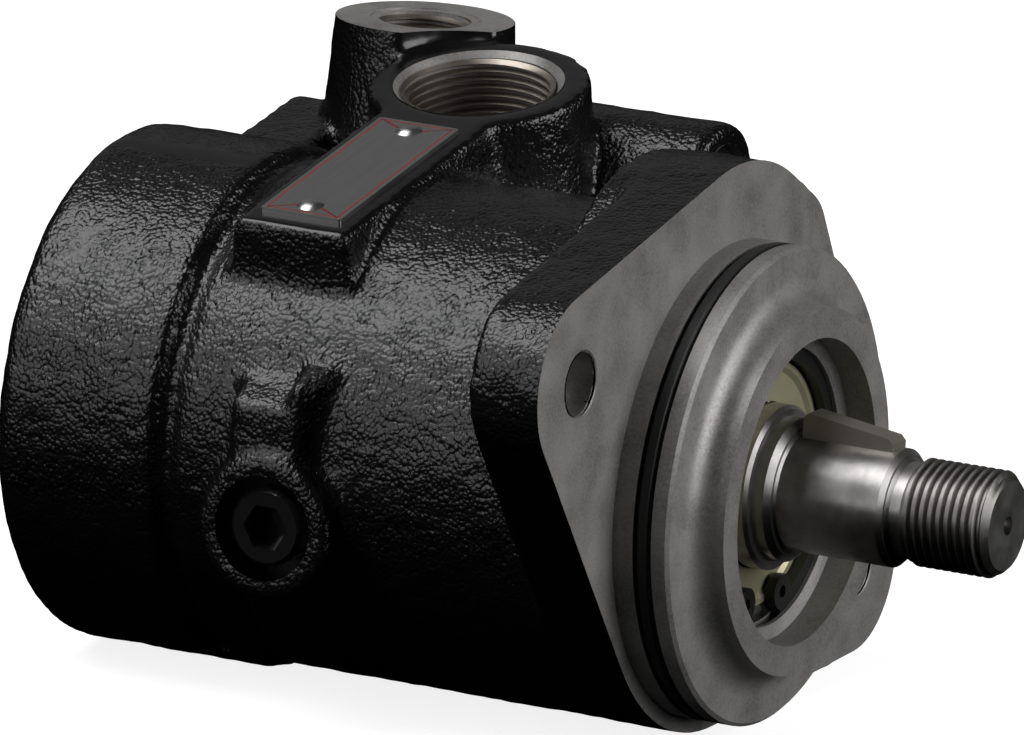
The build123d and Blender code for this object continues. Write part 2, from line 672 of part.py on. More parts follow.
# ---------------------------------------------------------------- build
def build():
    body = housing()
    for hole in rivet_holes():
        body -= hole
    save("housing", body)
    save("rear_cover", rear_cover())
    save("cover_o_ring", ring_in(cover_radius - groove_depth, cover_radius, cover_rear + cover_groove,
                                 groove_width))
    save("cover_snap_ring", cover_snap_ring())
    save("pilot_o_ring", ring_in(pilot_radius - groove_depth, pilot_radius, groove_start, groove_width))
    save("drive_shaft", drive_shaft())
    save("woodruff_key", key_blank())
    outer, inner, balls, cage, shield = bearing()
    save("bearing_outer_ring", outer)
    save("bearing_inner_ring", inner)
    save("bearing_balls", *balls)
    save("bearing_cage", cage)
    save("bearing_shield", shield)
    save("bearing_snap_ring", retaining_clip())
    save("shaft_seal", shaft_seal())
    save("front_port_plate", front_port_plate())
    save("cam_ring", cam_ring())
    save("pressure_plate", pressure_plate())
    save("dowel_pins", *dowels())
    save("shaft_bush", shaft_bush())
    save("rotor", rotor())
    save("rotor_snap_ring", rotor_snap_ring())
    for i in range(vane_count):
        save(f"vane_{i + 1:02d}", vane(i))
    spring_room = plate_rear - cover_seat
    save("pack_spring", coil(spring_radius, spring_wire, spring_turns, cover_seat, spring_room))
    save("valve_spool", valve_spool())
    ball, screw, spring = relief_parts()
    save("relief_ball", ball)
    save("relief_screw", screw)
    save("relief_spring", spring)
    rear_of_spool = spool_start - spool_length
    save("valve_spring", coil(valve_spring_radius, valve_spring_wire, valve_spring_turns, valve_bore_end,
                              rear_of_spool - valve_bore_end, valve_y, valve_z))
    valve_plug = socket_plug(valve_plug_diameter - 2 * seat_fit, valve_plug_length, valve_plug_hexagon)
    save("valve_plug", Pos(chest_front - valve_plug_sink, valve_y, valve_z) * Rot(0, 90, 0) * valve_plug)
    side_plug = socket_plug(plug_diameter, plug_length, plug_hexagon)
    save("side_plug", Pos(plug_x, plug_face + plug_sink, plug_z) * Rot(90, 0, 0) * side_plug)
    save("name_plate", name_plate())
    save("name_plate_rivets", *rivets())


build()
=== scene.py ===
"""The looks of a flange-mounted hydraulic vane pump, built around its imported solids. Metres throughout."""
import json
import math

import bmesh
import bpy
import numpy as np
from mathutils import Matrix, Vector, noise


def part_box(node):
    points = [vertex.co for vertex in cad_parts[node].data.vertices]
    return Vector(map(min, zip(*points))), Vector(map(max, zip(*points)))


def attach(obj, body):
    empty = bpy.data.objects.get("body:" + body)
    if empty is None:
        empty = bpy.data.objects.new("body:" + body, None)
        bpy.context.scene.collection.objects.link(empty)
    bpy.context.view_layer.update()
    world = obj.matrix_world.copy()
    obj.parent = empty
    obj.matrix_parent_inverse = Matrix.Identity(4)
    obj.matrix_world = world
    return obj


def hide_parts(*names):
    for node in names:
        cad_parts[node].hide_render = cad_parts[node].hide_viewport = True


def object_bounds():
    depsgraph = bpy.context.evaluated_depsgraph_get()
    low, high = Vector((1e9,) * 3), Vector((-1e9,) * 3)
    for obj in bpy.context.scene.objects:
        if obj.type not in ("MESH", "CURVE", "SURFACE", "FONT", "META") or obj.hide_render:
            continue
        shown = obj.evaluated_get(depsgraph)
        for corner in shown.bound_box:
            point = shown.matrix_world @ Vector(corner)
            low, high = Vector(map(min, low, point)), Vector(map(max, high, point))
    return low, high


MM = 0.001

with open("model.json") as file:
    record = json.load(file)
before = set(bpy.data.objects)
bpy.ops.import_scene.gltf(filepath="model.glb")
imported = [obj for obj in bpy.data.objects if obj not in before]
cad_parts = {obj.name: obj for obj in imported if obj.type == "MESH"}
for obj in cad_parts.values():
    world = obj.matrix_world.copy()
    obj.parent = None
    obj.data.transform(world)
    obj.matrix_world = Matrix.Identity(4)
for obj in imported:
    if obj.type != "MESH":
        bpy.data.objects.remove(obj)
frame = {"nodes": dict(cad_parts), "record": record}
CAD_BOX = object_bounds()
NODES = frame["nodes"]
MOUNTS = {mount["name"]: mount for mount in frame["record"]["mounts"]}


def place_of(mount):
    return Vector(MOUNTS[mount]["pos_m"]), Vector(MOUNTS[mount]["axis"]).normalized()


# ---------------------------------------------------------------- sizes taken from the frame
SUCTION, SUCTION_OUT = place_of("suction_port")
PRESSURE, PRESSURE_OUT = place_of("pressure_port")
SUCTION_RADIUS = MOUNTS["suction_port"]["dims"]["r_mm"] * MM
PRESSURE_RADIUS = MOUNTS["pressure_port"]["dims"]["r_mm"] * MM
PILOT_RADIUS = MOUNTS["pilot"]["dims"]["r_mm"] * MM
SHAFT_THREAD_RADIUS = MOUNTS["shaft_thread"]["dims"]["r_mm"] * MM
BOLT_RADIUS = MOUNTS["flange_bolts"]["dims"]["hole_r_mm"] * MM
BOLT_CIRCLE = MOUNTS["flange_bolts"]["dims"]["pcd_mm"] * MM / 2
SHAFT_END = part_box("drive_shaft")[1][0]
HOUSING_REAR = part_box("housing")[0][0]
PRESSURE_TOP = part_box("housing")[1][2]
SPOOL_LOW, SPOOL_HIGH = (Vector(v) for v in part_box("valve_spool"))
VALVE = (SPOOL_LOW + SPOOL_HIGH) / 2
PLUG_LOW, PLUG_HIGH = (Vector(v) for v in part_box("side_plug"))
PLUG = (PLUG_LOW + PLUG_HIGH) / 2

# ---------------------------------------------------------------- sizes that the frame doesn't hold
BOLT_ANGLE = math.radians(155.3)
FLANGE_REAR = -12.5 * MM
FACE_HEIGHT = 44.5 * MM         # of the suction face over the shaft axis, along its normal
MOUTH_RADIUS = 14.6 * MM
SUCTION_BOSS = 19.0 * MM
PRESSURE_BOSS = 22.0 * MM
SPOT_RADIUS = 19.6 * MM
PRESSURE_RING = 9.6 * MM
VALVE_PLUG_RADIUS = 9.0 * MM
VALVE_PLUG_SUNK = 1.5 * MM
PLUG_SPOT_RADIUS = 8.75 * MM
PLUG_SUNK = 1.2 * MM
COVER_RADIUS = 38.0 * MM
CORE_RADIUS = 40.2 * MM         # everything inside this radius is the machined inside
THREAD_PITCH = 1.5 * MM
THREAD_DEPTH = 0.61 * THREAD_PITCH
SUCTION_THREAD_START, SUCTION_THREAD_END = 0.8 * MM, 13.2 * MM
PRESSURE_THREAD_START, PRESSURE_THREAD_END = 0.3 * MM, 12.5 * MM
SHAFT_THREAD_START = 36.0 * MM
SHAFT_NECK_RADIUS = 7.95 * MM
SHAFT_CHAMFER = 1.5 * MM
PLATE_MARGIN = 0.75 * MM
PLATE_LINE = 0.28 * MM
VOXEL = 0.78 * MM
CAST_ROUNDS = 4                 # smoothing passes that round the casting's inner corners
CONVEX_SHARE = 0.20             # how much of that rounding its outer edges take
FLOOR_GLOW = 0.85
PAINTED_FLOOR_GLOW = 0.03                # painted light: the glow of the floor in front, seen only in the pump's reflections, standing in for a lit table
PAINTED_GLOW_START = 106 * MM
PAINTED_GLOW_RAMP = 12 * MM
VIEW_AZIMUTH, VIEW_ELEVATION, VIEW_ROLL = (math.radians(a) for a in (26.861, 12.329, 3.189))
VIEW_RIGHT, VIEW_UP, VIEW_BACK = -34.827 * MM, 18.238 * MM, 1866.283 * MM
VIEW_LENS = 397.53              # focal length on a 36 mm sensor

# ---------------------------------------------------------------- places worked out from both
BOLTS = [Vector((0, BOLT_CIRCLE * math.cos(a), BOLT_CIRCLE * math.sin(a)))
         for a in (BOLT_ANGLE, BOLT_ANGLE + math.pi)]
CHEST_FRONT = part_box("valve_plug")[1][0] + VALVE_PLUG_SUNK
PLUG_FACE = PLUG_LOW.y - PLUG_SUNK
SUCTION_FACE = SUCTION + SUCTION_OUT * (FACE_HEIGHT - SUCTION.dot(SUCTION_OUT))
PRESSURE_FACE = Vector((PRESSURE.x, PRESSURE.y, PRESSURE_TOP))
X_AXIS, Y_AXIS, Z_AXIS = Vector((1, 0, 0)), Vector((0, 1, 0)), Vector((0, 0, 1))


# ---------------------------------------------------------------- mesh helpers
def new_piece(name, bm, materials, body="pump_body", replaces=(), smooth_angle=30):
    """Turns a bmesh into a piece that rides on a body and stands for CAD nodes."""
    mesh = bpy.data.meshes.new(name)
    for face in bm.faces:
        face.smooth = True
    for edge in bm.edges:
        edge.smooth = len(edge.link_faces) == 2 and edge.calc_face_angle(0) < math.radians(smooth_angle)
    bm.to_mesh(mesh)
    bm.free()
    for material in materials:
        mesh.materials.append(material)
    piece = bpy.data.objects.new(name, mesh)
    bpy.context.scene.collection.objects.link(piece)
    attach(piece, body)
    if replaces:
        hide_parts(*replaces)
    return piece


def merged_copy(node):
    """The mesh of a CAD node with its loose triangles joined."""
    bm = bmesh.new()
    bm.from_mesh(NODES[node].data)
    for face in bm.faces:
        face.material_index = 0
    bmesh.ops.remove_doubles(bm, verts=bm.verts, dist=1e-6)
    return bm


def aligned(direction, place):
    """A matrix that takes +Z to a direction and the origin to a place."""
    return Matrix.Translation(place) @ direction.to_track_quat("Z", "Y").to_matrix().to_4x4()


def add_cylinder(bm, start, end, radius, segments=96):
    """A closed cylinder between two points."""
    along = end - start
    matrix = aligned(along.normalized(), (start + end) / 2)
    return bmesh.ops.create_cone(bm, cap_ends=True, segments=segments, radius1=radius, radius2=radius,
                                 depth=along.length, matrix=matrix)["verts"]


def off_axis(point, origin, direction):
    """How far a point is from a line, and how far along it."""
    along = (point - origin).dot(direction)
    return (point - origin - direction * along).length, along


def raise_faces(bm, direction, level, height):
    """Extends the flat faces that lie at a level along a direction, so a later cut leaves a sharp edge."""
    flat = [f for f in bm.faces if f.normal.dot(direction) > 0.999
            and abs(f.calc_center_median().dot(direction) - level) < 0.02 * MM]
    grown = bmesh.ops.extrude_face_region(bm, geom=flat)["geom"]
    verts = [v for v in grown if isinstance(v, bmesh.types.BMVert)]
    bmesh.ops.translate(bm, verts=verts, vec=direction * height)
    bmesh.ops.delete(bm, geom=[f for f in flat if f.is_valid], context="FACES")


def cut_flat(bm, direction, level, near=None):
    """Cuts away what stands beyond a plane, everywhere or only on the faces that near() accepts."""
    faces = [f for f in bm.faces if near is None or near(f.calc_center_median())]
    edges = {e for f in faces for e in f.edges}
    verts = {v for f in faces for v in f.verts}
    bmesh.ops.bisect_plane(bm, geom=faces + list(edges) + list(verts), plane_co=direction * level,
                           plane_no=direction, clear_outer=True)


def trim_round(bm, origin, direction, radius, reach):
    """Opens a round hole: clears the faces inside it and sets the edge that is left on its circle."""
    inside = []
    for face in bm.faces:
        away, along = off_axis(face.calc_center_median(), origin, direction)
        if away < radius and reach[0] < along < reach[1]:
            inside.append(face)
    bmesh.ops.delete(bm, geom=inside, context="FACES")
    for edge in [e for e in bm.edges if e.is_boundary]:
        for vert in edge.verts:
            away, along = off_axis(vert.co, origin, direction)
            if away < radius + 2 * VOXEL and reach[0] < along < reach[1] and away > 0:
                foot = origin + direction * along
                vert.co = foot + (vert.co - foot) * (radius / away)


def keep_largest(bm):
    """Drops every loose shell but the one with the most faces."""
    left = set(bm.faces)
    best = []
    while left:
        shell = []
        queue = [left.pop()]
        while queue:
            face = queue.pop()
            shell.append(face)
            for edge in face.edges:
                for other in edge.link_faces:
                    if other in left:
                        left.discard(other)
                        queue.append(other)
        if len(shell) > len(best):
            best = shell
    keep = set(best)
    bmesh.ops.delete(bm, geom=[f for f in bm.faces if f not in keep], context="FACES")


# ---------------------------------------------------------------- material helpers
class Finish:
    """A Principled material with short calls for its patterns."""

    def __init__(self, name, colour, metallic=0.0, roughness=0.5, **sockets):
        self.material = bpy.data.materials.new(name)
        self.material.use_nodes = True
        self.tree = self.material.node_tree
        self.shader = self.tree.nodes["Principled BSDF"]
        self.shader.inputs["Base Color"].default_value = (*colour, 1)
        self.shader.inputs["Metallic"].default_value = metallic
        self.shader.inputs["Roughness"].default_value = roughness
        for socket, value in sockets.items():
            self.shader.inputs[socket.replace("_", " ")].default_value = value
        self.material.diffuse_color = (*colour, 1)
        self.place = self.node("ShaderNodeTexCoord").outputs["Object"]

    def node(self, kind, **values):
        made = self.tree.nodes.new(kind)
        for name, value in values.items():
            setattr(made, name, value)
        return made

    def link(self, source, target):
        self.tree.links.new(source, target)

    def maths(self, operation, first, second=None, clamp=False):
        made = self.node("ShaderNodeMath", operation=operation, use_clamp=clamp)
        for index, value in enumerate((first, second)):
            if value is None:
                continue
            if isinstance(value, (int, float)):
                made.inputs[index].default_value = value
            else:
                self.link(value, made.inputs[index])
        return made.outputs[0]

    def clouds(self, size, detail=3.0, roughness=0.55, stretch=None):
        """Noise whose lumps have about the given size."""
        made = self.node("ShaderNodeTexNoise")
        made.inputs["Scale"].default_value = 1 / size
        made.inputs["Detail"].default_value = detail
        made.inputs["Roughness"].default_value = roughness
        source = self.place
        if stretch:
            mapping = self.node("ShaderNodeMapping")
            mapping.inputs["Scale"].default_value = stretch
            self.link(self.place, mapping.inputs["Vector"])
            source = mapping.outputs[0]
        self.link(source, made.inputs["Vector"])
        return made.outputs[0]

    def pebbles(self, size, smoothness=0.6):
        """Rounded cells of about the given size: 0 in their middles, more at their edges."""
        made = self.node("ShaderNodeTexVoronoi", feature="SMOOTH_F1")
        made.inputs["Scale"].default_value = 1 / size
        made.inputs["Smoothness"].default_value = smoothness
        self.link(self.place, made.inputs["Vector"])
        return made.outputs["Distance"]

    def radius_about_x(self):
        split = self.node("ShaderNodeSeparateXYZ")
        self.link(self.place, split.inputs[0])
        squares = [self.maths("POWER", split.outputs[i], 2) for i in (1, 2)]
        return self.maths("SQRT", self.maths("ADD", *squares))

    def ramp(self, source, *stops):
        made = self.node("ShaderNodeValToRGB")
        elements = made.color_ramp.elements
        while len(elements) < len(stops):
            elements.new(0.5)
        for element, (position, colour) in zip(elements, stops):
            element.position = position
            element.color = (*colour, 1) if len(colour) == 3 else colour
        self.link(source, made.inputs[0])
        return made.outputs[0]

    def colour(self, source):
        self.link(source, self.shader.inputs["Base Color"])

    def roughness(self, source, low, high):
        made = self.node("ShaderNodeMapRange")
        made.inputs["To Min"].default_value = low
        made.inputs["To Max"].default_value = high
        self.link(source, made.inputs["Value"])
        self.link(made.outputs[0], self.shader.inputs["Roughness"])

    def bump(self, height, depth, strength=1.0):
        """Adds a relief of the given depth on top of the ones added before."""
        made = self.node("ShaderNodeBump")
        made.inputs["Distance"].default_value = depth
        if isinstance(strength, (int, float)):
            made.inputs["Strength"].default_value = strength
        else:
            self.link(strength, made.inputs["Strength"])
        self.link(height, made.inputs["Height"])
        linked = self.shader.inputs["Normal"].links
        if linked:
            self.link(linked[0].from_socket, made.inputs["Normal"])
        self.link(made.outputs[0], self.shader.inputs["Normal"])


def painted_casting():
    """Satin black paint over a sand-cast skin; the polish attribute smooths the dressed places."""
    finish = Finish("black_paint_on_casting", (0.004, 0.004, 0.0042), roughness=0.3, Specular_IOR_Level=0.5)
    polish = finish.node("ShaderNodeAttribute", attribute_name="polish").outputs["Fac"]
    rough_share = finish.maths("SUBTRACT", 1.0, polish, clamp=True)
    swells = finish.clouds(2.0 * MM, detail=2.0, roughness=0.5)
    pebbles = finish.maths("POWER", finish.pebbles(0.75 * MM, smoothness=0.35), 1.6)
    patches = finish.ramp(finish.clouds(5.0 * MM, detail=2.0), (0.35, (0.55, 0.55, 0.55)), (0.65, (1, 1, 1)))
    pebble_share = finish.maths("MULTIPLY", rough_share, patches)
    grains = finish.clouds(0.45 * MM, detail=2.0, roughness=0.6)
    finish.bump(swells, 0.22 * MM, rough_share)
    finish.bump(pebbles, -0.21 * MM, pebble_share)
    finish.bump(grains, 0.07 * MM, rough_share)
    finish.roughness(finish.clouds(2.4 * MM, detail=4.0), 0.17, 0.28)
    return finish.material


def machined_iron():
    """Turned grey iron: fine rings about the shaft axis and small open pores."""
    finish = Finish("machined_iron", (0.3, 0.29, 0.28), metallic=0.45, roughness=0.42)
    pores = finish.clouds(0.55 * MM, detail=4.0, roughness=0.7)
    patches = finish.clouds(9 * MM, detail=3.0)
    fine = finish.maths("MULTIPLY", pores, 0.55)
    tone = finish.maths("ADD", fine, finish.maths("MULTIPLY", patches, 0.45))
    finish.colour(finish.ramp(tone, (0.36, (0.19, 0.185, 0.178)), (0.5, (0.3, 0.292, 0.284)),
                              (0.66, (0.37, 0.36, 0.348))))
    ring_step = 0.22 * MM
    turned = finish.maths("MULTIPLY", finish.radius_about_x(), 2 * math.pi / ring_step)
    rings = finish.maths("SINE", turned)
    finish.bump(rings, 0.006 * MM, 0.5)
    finish.bump(pores, 0.04 * MM, 0.6)
    finish.roughness(patches, 0.36, 0.52)
    return finish.material


def ground_steel():
    finish = Finish("ground_steel", (0.36, 0.35, 0.34), metallic=1.0, roughness=0.34, Anisotropic=0.5)
    lines = finish.clouds(1.0 * MM, detail=5.0, stretch=(14, 0.6, 0.6))
    finish.bump(lines, 0.012 * MM, 0.5)
    finish.roughness(finish.clouds(3 * MM, detail=4.0, stretch=(3, 0.8, 0.8)), 0.28, 0.46)
    finish.colour(finish.ramp(finish.clouds(5 * MM, detail=4.0), (0.35, (0.27, 0.262, 0.255)),
                              (0.65, (0.42, 0.412, 0.404))))
    return finish.material


def thread_steel():
    finish = Finish("thread_steel", (0.22, 0.213, 0.205), metallic=1.0, roughness=0.36)
    finish.bump(finish.clouds(0.6 * MM, detail=4.0), 0.02 * MM, 0.5)
    finish.roughness(finish.clouds(1.5 * MM, detail=4.0), 0.28, 0.5)
    return finish.material


def port_thread_metal():
    finish = Finish("port_thread_metal", (0.3, 0.27, 0.235), metallic=0.95, roughness=0.34)
    finish.bump(finish.clouds(0.5 * MM, detail=4.0), 0.03 * MM, 0.5)
    finish.roughness(finish.clouds(1.5 * MM, detail=4.0), 0.28, 0.5)
    return finish.material


def plain(name, colour, metallic, roughness, grain=0.6 * MM, depth=0.01 * MM, **sockets):
    """A finish that needs only a fine grain."""
    finish = Finish(name, colour, metallic, roughness, **sockets)
    finish.bump(finish.clouds(grain, detail=3.0), depth, 0.5)
    finish.roughness(finish.clouds(4 * grain, detail=3.0), roughness * 0.8, min(1.0, roughness * 1.25))
    return finish.material


def brushed_plate():
    finish = Finish("brushed_plate", (0.46, 0.46, 0.46), metallic=1.0, roughness=0.3)
    along_plate = finish.clouds(0.5 * MM, detail=4.0, stretch=(1.0, 0.03, 0.03))
    finish.bump(along_plate, 0.01 * MM, 0.4)
    finish.roughness(along_plate, 0.24, 0.4)
    return finish.material


CAST = painted_casting()
IRON = machined_iron()
GROUND = ground_steel()
THREAD = thread_steel()
PORT_THREAD = port_thread_metal()
PLATE = brushed_plate()
RED_LINE = plain("red_print", (0.3, 0.02, 0.02), 0.2, 0.4)
RUBBER = plain("black_rubber", (0.012, 0.012, 0.012), 0.0, 0.45)
BLACK_STEEL = plain("phosphated_steel", (0.02, 0.02, 0.02), 0.3, 0.35)
BEARING_STEEL = plain("bearing_steel", (0.5, 0.5, 0.5), 1.0, 0.2)
CAGE_STEEL = plain("cage_steel", (0.45, 0.45, 0.44), 1.0, 0.35)
ZINC_YELLOW = plain("yellow_zinc_plate", (0.42, 0.4, 0.26), 0.6, 0.42)
KEY_STEEL = plain("key_steel", (0.45, 0.42, 0.37), 0.9, 0.4)
HARD_STEEL = plain("hardened_steel", (0.45, 0.45, 0.46), 1.0, 0.25)
BRONZE = plain("bush_bronze", (0.45, 0.3, 0.13), 1.0, 0.35)
SPRING_STEEL = plain("spring_steel", (0.2, 0.2, 0.21), 1.0, 0.35)
BLACK_PLUG = plain("black_plug", (0.008, 0.008, 0.008), 0.0, 0.16, Coat_Weight=0.4)
BARE_METAL = plain("bare_metal", (0.5, 0.5, 0.5), 1.0, 0.3)

NODE_FINISH = {
    "rear_cover": IRON, "cover_o_ring": RUBBER, "cover_snap_ring": BLACK_STEEL, "pilot_o_ring": RUBBER,
    "woodruff_key": KEY_STEEL, "bearing_outer_ring": BEARING_STEEL, "bearing_inner_ring": BEARING_STEEL,
    "bearing_balls": BEARING_STEEL, "bearing_cage": CAGE_STEEL, "bearing_shield": ZINC_YELLOW,
    "bearing_snap_ring": BLACK_STEEL, "shaft_seal": RUBBER, "front_port_plate": IRON, "cam_ring": HARD_STEEL,
    "pressure_plate": IRON, "dowel_pins": HARD_STEEL, "shaft_bush": BRONZE, "rotor": HARD_STEEL,
    "rotor_snap_ring": BLACK_STEEL, "pack_spring": SPRING_STEEL, "valve_spool": HARD_STEEL,
    "relief_ball": BEARING_STEEL, "relief_screw": HARD_STEEL, "relief_spring": SPRING_STEEL,
    "valve_spring": SPRING_STEEL, "valve_plug": BLACK_PLUG, "side_plug": BLACK_PLUG,
    "name_plate_rivets": BARE_METAL, "drive_shaft": GROUND, "name_plate": PLATE, "housing": CAST,
}


def finish_nodes():
    """Gives every CAD node its own finish; the vanes are hardened steel."""
    for name, node in NODES.items():
        finish = NODE_FINISH.get(name, HARD_STEEL)
        if not node.data.materials:
            node.data.materials.append(finish)
        for slot in node.material_slots:
            slot.material = finish


# ---------------------------------------------------------------- housing: the painted casting
def closed_housing():
    """The housing with every bore and opening filled, and its flat machined faces raised for a later cut."""
    bm = merged_copy("housing")
    raised = 3 * MM
    sunk = 0.4 * MM
    suction_depth, pressure_depth = 26 * MM, 24 * MM
    valve_depth, plug_depth = 66 * MM, 12 * MM
    raise_faces(bm, X_AXIS, 0.0, raised)
    raise_faces(bm, Z_AXIS, PRESSURE_TOP, raised)
    add_cylinder(bm, X_AXIS * (HOUSING_REAR + sunk), X_AXIS * 2 * MM, CORE_RADIUS)
    add_cylinder(bm, SUCTION_FACE - SUCTION_OUT * suction_depth, SUCTION_FACE - SUCTION_OUT * sunk,
                 MOUTH_RADIUS)
    add_cylinder(bm, PRESSURE_FACE - Z_AXIS * pressure_depth, PRESSURE_FACE + Z_AXIS * MM, PRESSURE_RING)
    chest_end = Vector((CHEST_FRONT, VALVE.y, VALVE.z))
    add_cylinder(bm, chest_end - X_AXIS * valve_depth, chest_end - X_AXIS * sunk,
                 VALVE_PLUG_RADIUS + 0.1 * MM)
    plug_face = Vector((PLUG.x, PLUG_FACE, PLUG.z))
    add_cylinder(bm, plug_face + Y_AXIS * sunk, plug_face + Y_AXIS * plug_depth, PLUG_SPOT_RADIUS)
    return bm


def remeshed(bm, voxel):
    """A new bmesh of one even, closed skin round everything in bm."""
    mesh = bpy.data.meshes.new("skin_source")
    bm.to_mesh(mesh)
    bm.free()
    source = bpy.data.objects.new("skin_source", mesh)
    bpy.context.scene.collection.objects.link(source)
    remesh = source.modifiers.new("skin", "REMESH")
    remesh.mode = "VOXEL"
    remesh.voxel_size = voxel
    remesh.adaptivity = 0
    graph = bpy.context.evaluated_depsgraph_get()
    result = bpy.data.meshes.new_from_object(source.evaluated_get(graph))
    out = bmesh.new()
    out.from_mesh(result)
    bpy.data.objects.remove(source)
    bpy.data.meshes.remove(mesh)
    bpy.data.meshes.remove(result)
    return out


def coordinates(bm):
    return np.array([v.co for v in bm.verts])


def normals(bm):
    return np.array([v.normal for v in bm.verts])


def set_coordinates(bm, places):
    for vert, place in zip(bm.verts, places):
        vert.co = place
    bm.normal_update()


def smoothed(bm, rounds):
    """Where the vertices go after the given number of smoothing passes."""
    bm.verts.index_update()
    ends = np.array([[e.verts[0].index, e.verts[1].index] for e in bm.edges])
    places = coordinates(bm)
    count = np.bincount(ends.ravel(), minlength=len(places))[:, None]
    for _ in range(rounds):
        total = np.zeros_like(places)
        for axis in range(3):
            total[:, axis] = (np.bincount(ends[:, 0], places[ends[:, 1], axis], len(places))
                              + np.bincount(ends[:, 1], places[ends[:, 0], axis], len(places)))
        places = places + 0.6 * (total / count - places)
    return places


def round_casting(bm):
    """Fills the inner corners with the casting's fillets and only eases its outer edges."""
    start = smoothed(bm, 2)
    set_coordinates(bm, start)
    after = smoothed(bm, CAST_ROUNDS)
    move = after - start
    set_coordinates(bm, after)
    outward = (move * normals(bm)).sum(axis=1)
    share = np.where(outward > 0, 1.0, CONVEX_SHARE)[:, None]
    set_coordinates(bm, start + move * share)
    set_coordinates(bm, smoothed(bm, 1))


def dressed_share(point, normal):
    """1 on the smooth faces of the casting: the suction face, the pad's top and the spot-faced hollow."""
    height = point.dot(SUCTION_OUT) - FACE_HEIGHT
    away, _ = off_axis(point, SUCTION_FACE, SUCTION_OUT)
    level = normal.dot(SUCTION_OUT)
    if abs(height) < 0.7 * MM and level > 0.8 and point.y < SUCTION_FACE.y + SUCTION_BOSS:
        return 1.0
    if height > 0.5 * MM and away < SPOT_RADIUS + 0.8 * MM and point.z > PRESSURE_TOP - 20 * MM:
        return 1.0
    return 0.0


def roughen_casting(bm):
    """Marks the dressed faces and gives the rest the uneven skin of sand casting."""
    polish = bm.verts.layers.float.new("polish")
    for vert in bm.verts:
        share = dressed_share(vert.co, vert.normal)
        vert[polish] = share
        if share == 0:
            swell = noise.noise(vert.co / (7 * MM)) * 0.16 + noise.noise(vert.co / (2.6 * MM)) * 0.14
            vert.co += vert.normal * swell * MM


def on_pressure_boss(point):
    foot = Vector((PRESSURE.x, PRESSURE.y, 0))
    return off_axis(point, foot, Z_AXIS)[0] < PRESSURE_BOSS and point.z > 0


def casting():
    """The whole painted outside of the housing in one skin."""
    bm = remeshed(closed_housing(), VOXEL)
    keep_largest(bm)
    round_casting(bm)
    roughen_casting(bm)
    cut_flat(bm, X_AXIS, 0.0)
    cut_flat(bm, Z_AXIS, PRESSURE_TOP, on_pressure_boss)
    reach = (-1.5 * MM, 1.5 * MM)
    for bolt in BOLTS:
        trim_round(bm, bolt, X_AXIS, BOLT_RADIUS, (FLANGE_REAR - 2 * MM, 1 * MM))
    trim_round(bm, SUCTION_FACE, SUCTION_OUT, MOUTH_RADIUS, reach)
    trim_round(bm, Vector((CHEST_FRONT, VALVE.y, VALVE.z)), X_AXIS, VALVE_PLUG_RADIUS, reach)
    trim_round(bm, Vector((PLUG.x, PLUG_FACE, PLUG.z)), Y_AXIS, PLUG_SPOT_RADIUS, reach)
    trim_round(bm, X_AXIS * HOUSING_REAR, X_AXIS, COVER_RADIUS, reach)
    return new_piece("casting", bm, [CAST], replaces=["housing"], smooth_angle=50)


def is_machined(point, normal):
    """Whether a face of the CAD housing is bare machined metal."""
    if point.x > -0.01 * MM:
        return True
    if off_axis(point, Vector(), X_AXIS)[0] < CORE_RADIUS and point.x > HOUSING_REAR + 0.1 * MM:
        return True
    for bolt in BOLTS:
        if off_axis(point, bolt, X_AXIS)[0] < BOLT_RADIUS + 0.5 * MM and abs(normal.x) < 0.99:
            return True
    away, along = off_axis(point, SUCTION_FACE, SUCTION_OUT)
    if away < MOUTH_RADIUS and along < -0.02 * MM:
        return True
    if off_axis(point, PRESSURE, Z_AXIS)[0] < PRESSURE_RING + 0.05 * MM and point.z > VALVE.z:
        return True
    if point.z > PRESSURE_TOP - 0.01 * MM:
        return True
    in_valve_bore = off_axis(point, VALVE, X_AXIS)[0] < VALVE_PLUG_RADIUS + 0.05 * MM
    return in_valve_bore and HOUSING_REAR + 20 * MM < point.x < CHEST_FRONT - 0.01 * MM


def machined_faces():
    """The bare faces of the housing, exactly as the solids have them."""
    bm = merged_copy("housing")
    bm.normal_update()
    painted = [f for f in bm.faces if not is_machined(f.calc_center_median(), f.normal)]
    bmesh.ops.delete(bm, geom=painted, context="FACES")
    return new_piece("machined_faces", bm, [IRON], replaces=["housing"])


# ---------------------------------------------------------------- threads
def thread_surface(pitch, crest, root, low, high, segments=64):
    """One helical thread about +Z between two heights, as a single surface."""
    turns = math.ceil((high - low) / pitch) + 2
    bm = bmesh.new()
    flat = pitch / 8
    steps = [(0, root), (flat, root), (pitch / 2 - flat / 2, crest), (pitch / 2 + flat / 2, crest),
             (pitch - flat, root), (pitch, root)]
    verts = [bm.verts.new((radius, 0, low - pitch + height)) for height, radius in steps]
    edges = [bm.edges.new(pair) for pair in zip(verts, verts[1:])]
    bmesh.ops.spin(bm, geom=verts + edges, cent=(0, 0, 0), axis=(0, 0, 1), dvec=(0, 0, pitch / segments),
                   angle=2 * math.pi * turns, steps=segments * turns, use_merge=False)
    bmesh.ops.remove_doubles(bm, verts=bm.verts, dist=0.01 * MM)
    for level, side in ((low, -1), (high, 1)):
        bmesh.ops.bisect_plane(bm, geom=bm.verts[:] + bm.edges[:] + bm.faces[:], plane_co=(0, 0, level),
                               plane_no=(0, 0, side), clear_outer=True)
    return bm


def outward(bm, inside=False):
    """Turns the faces of a round surface about +Z away from its axis, or towards it."""
    for face in bm.faces:
        centre = face.calc_center_median()
        centre.z = 0
        if (face.normal.dot(centre) > 0) == inside:
            face.normal_flip()


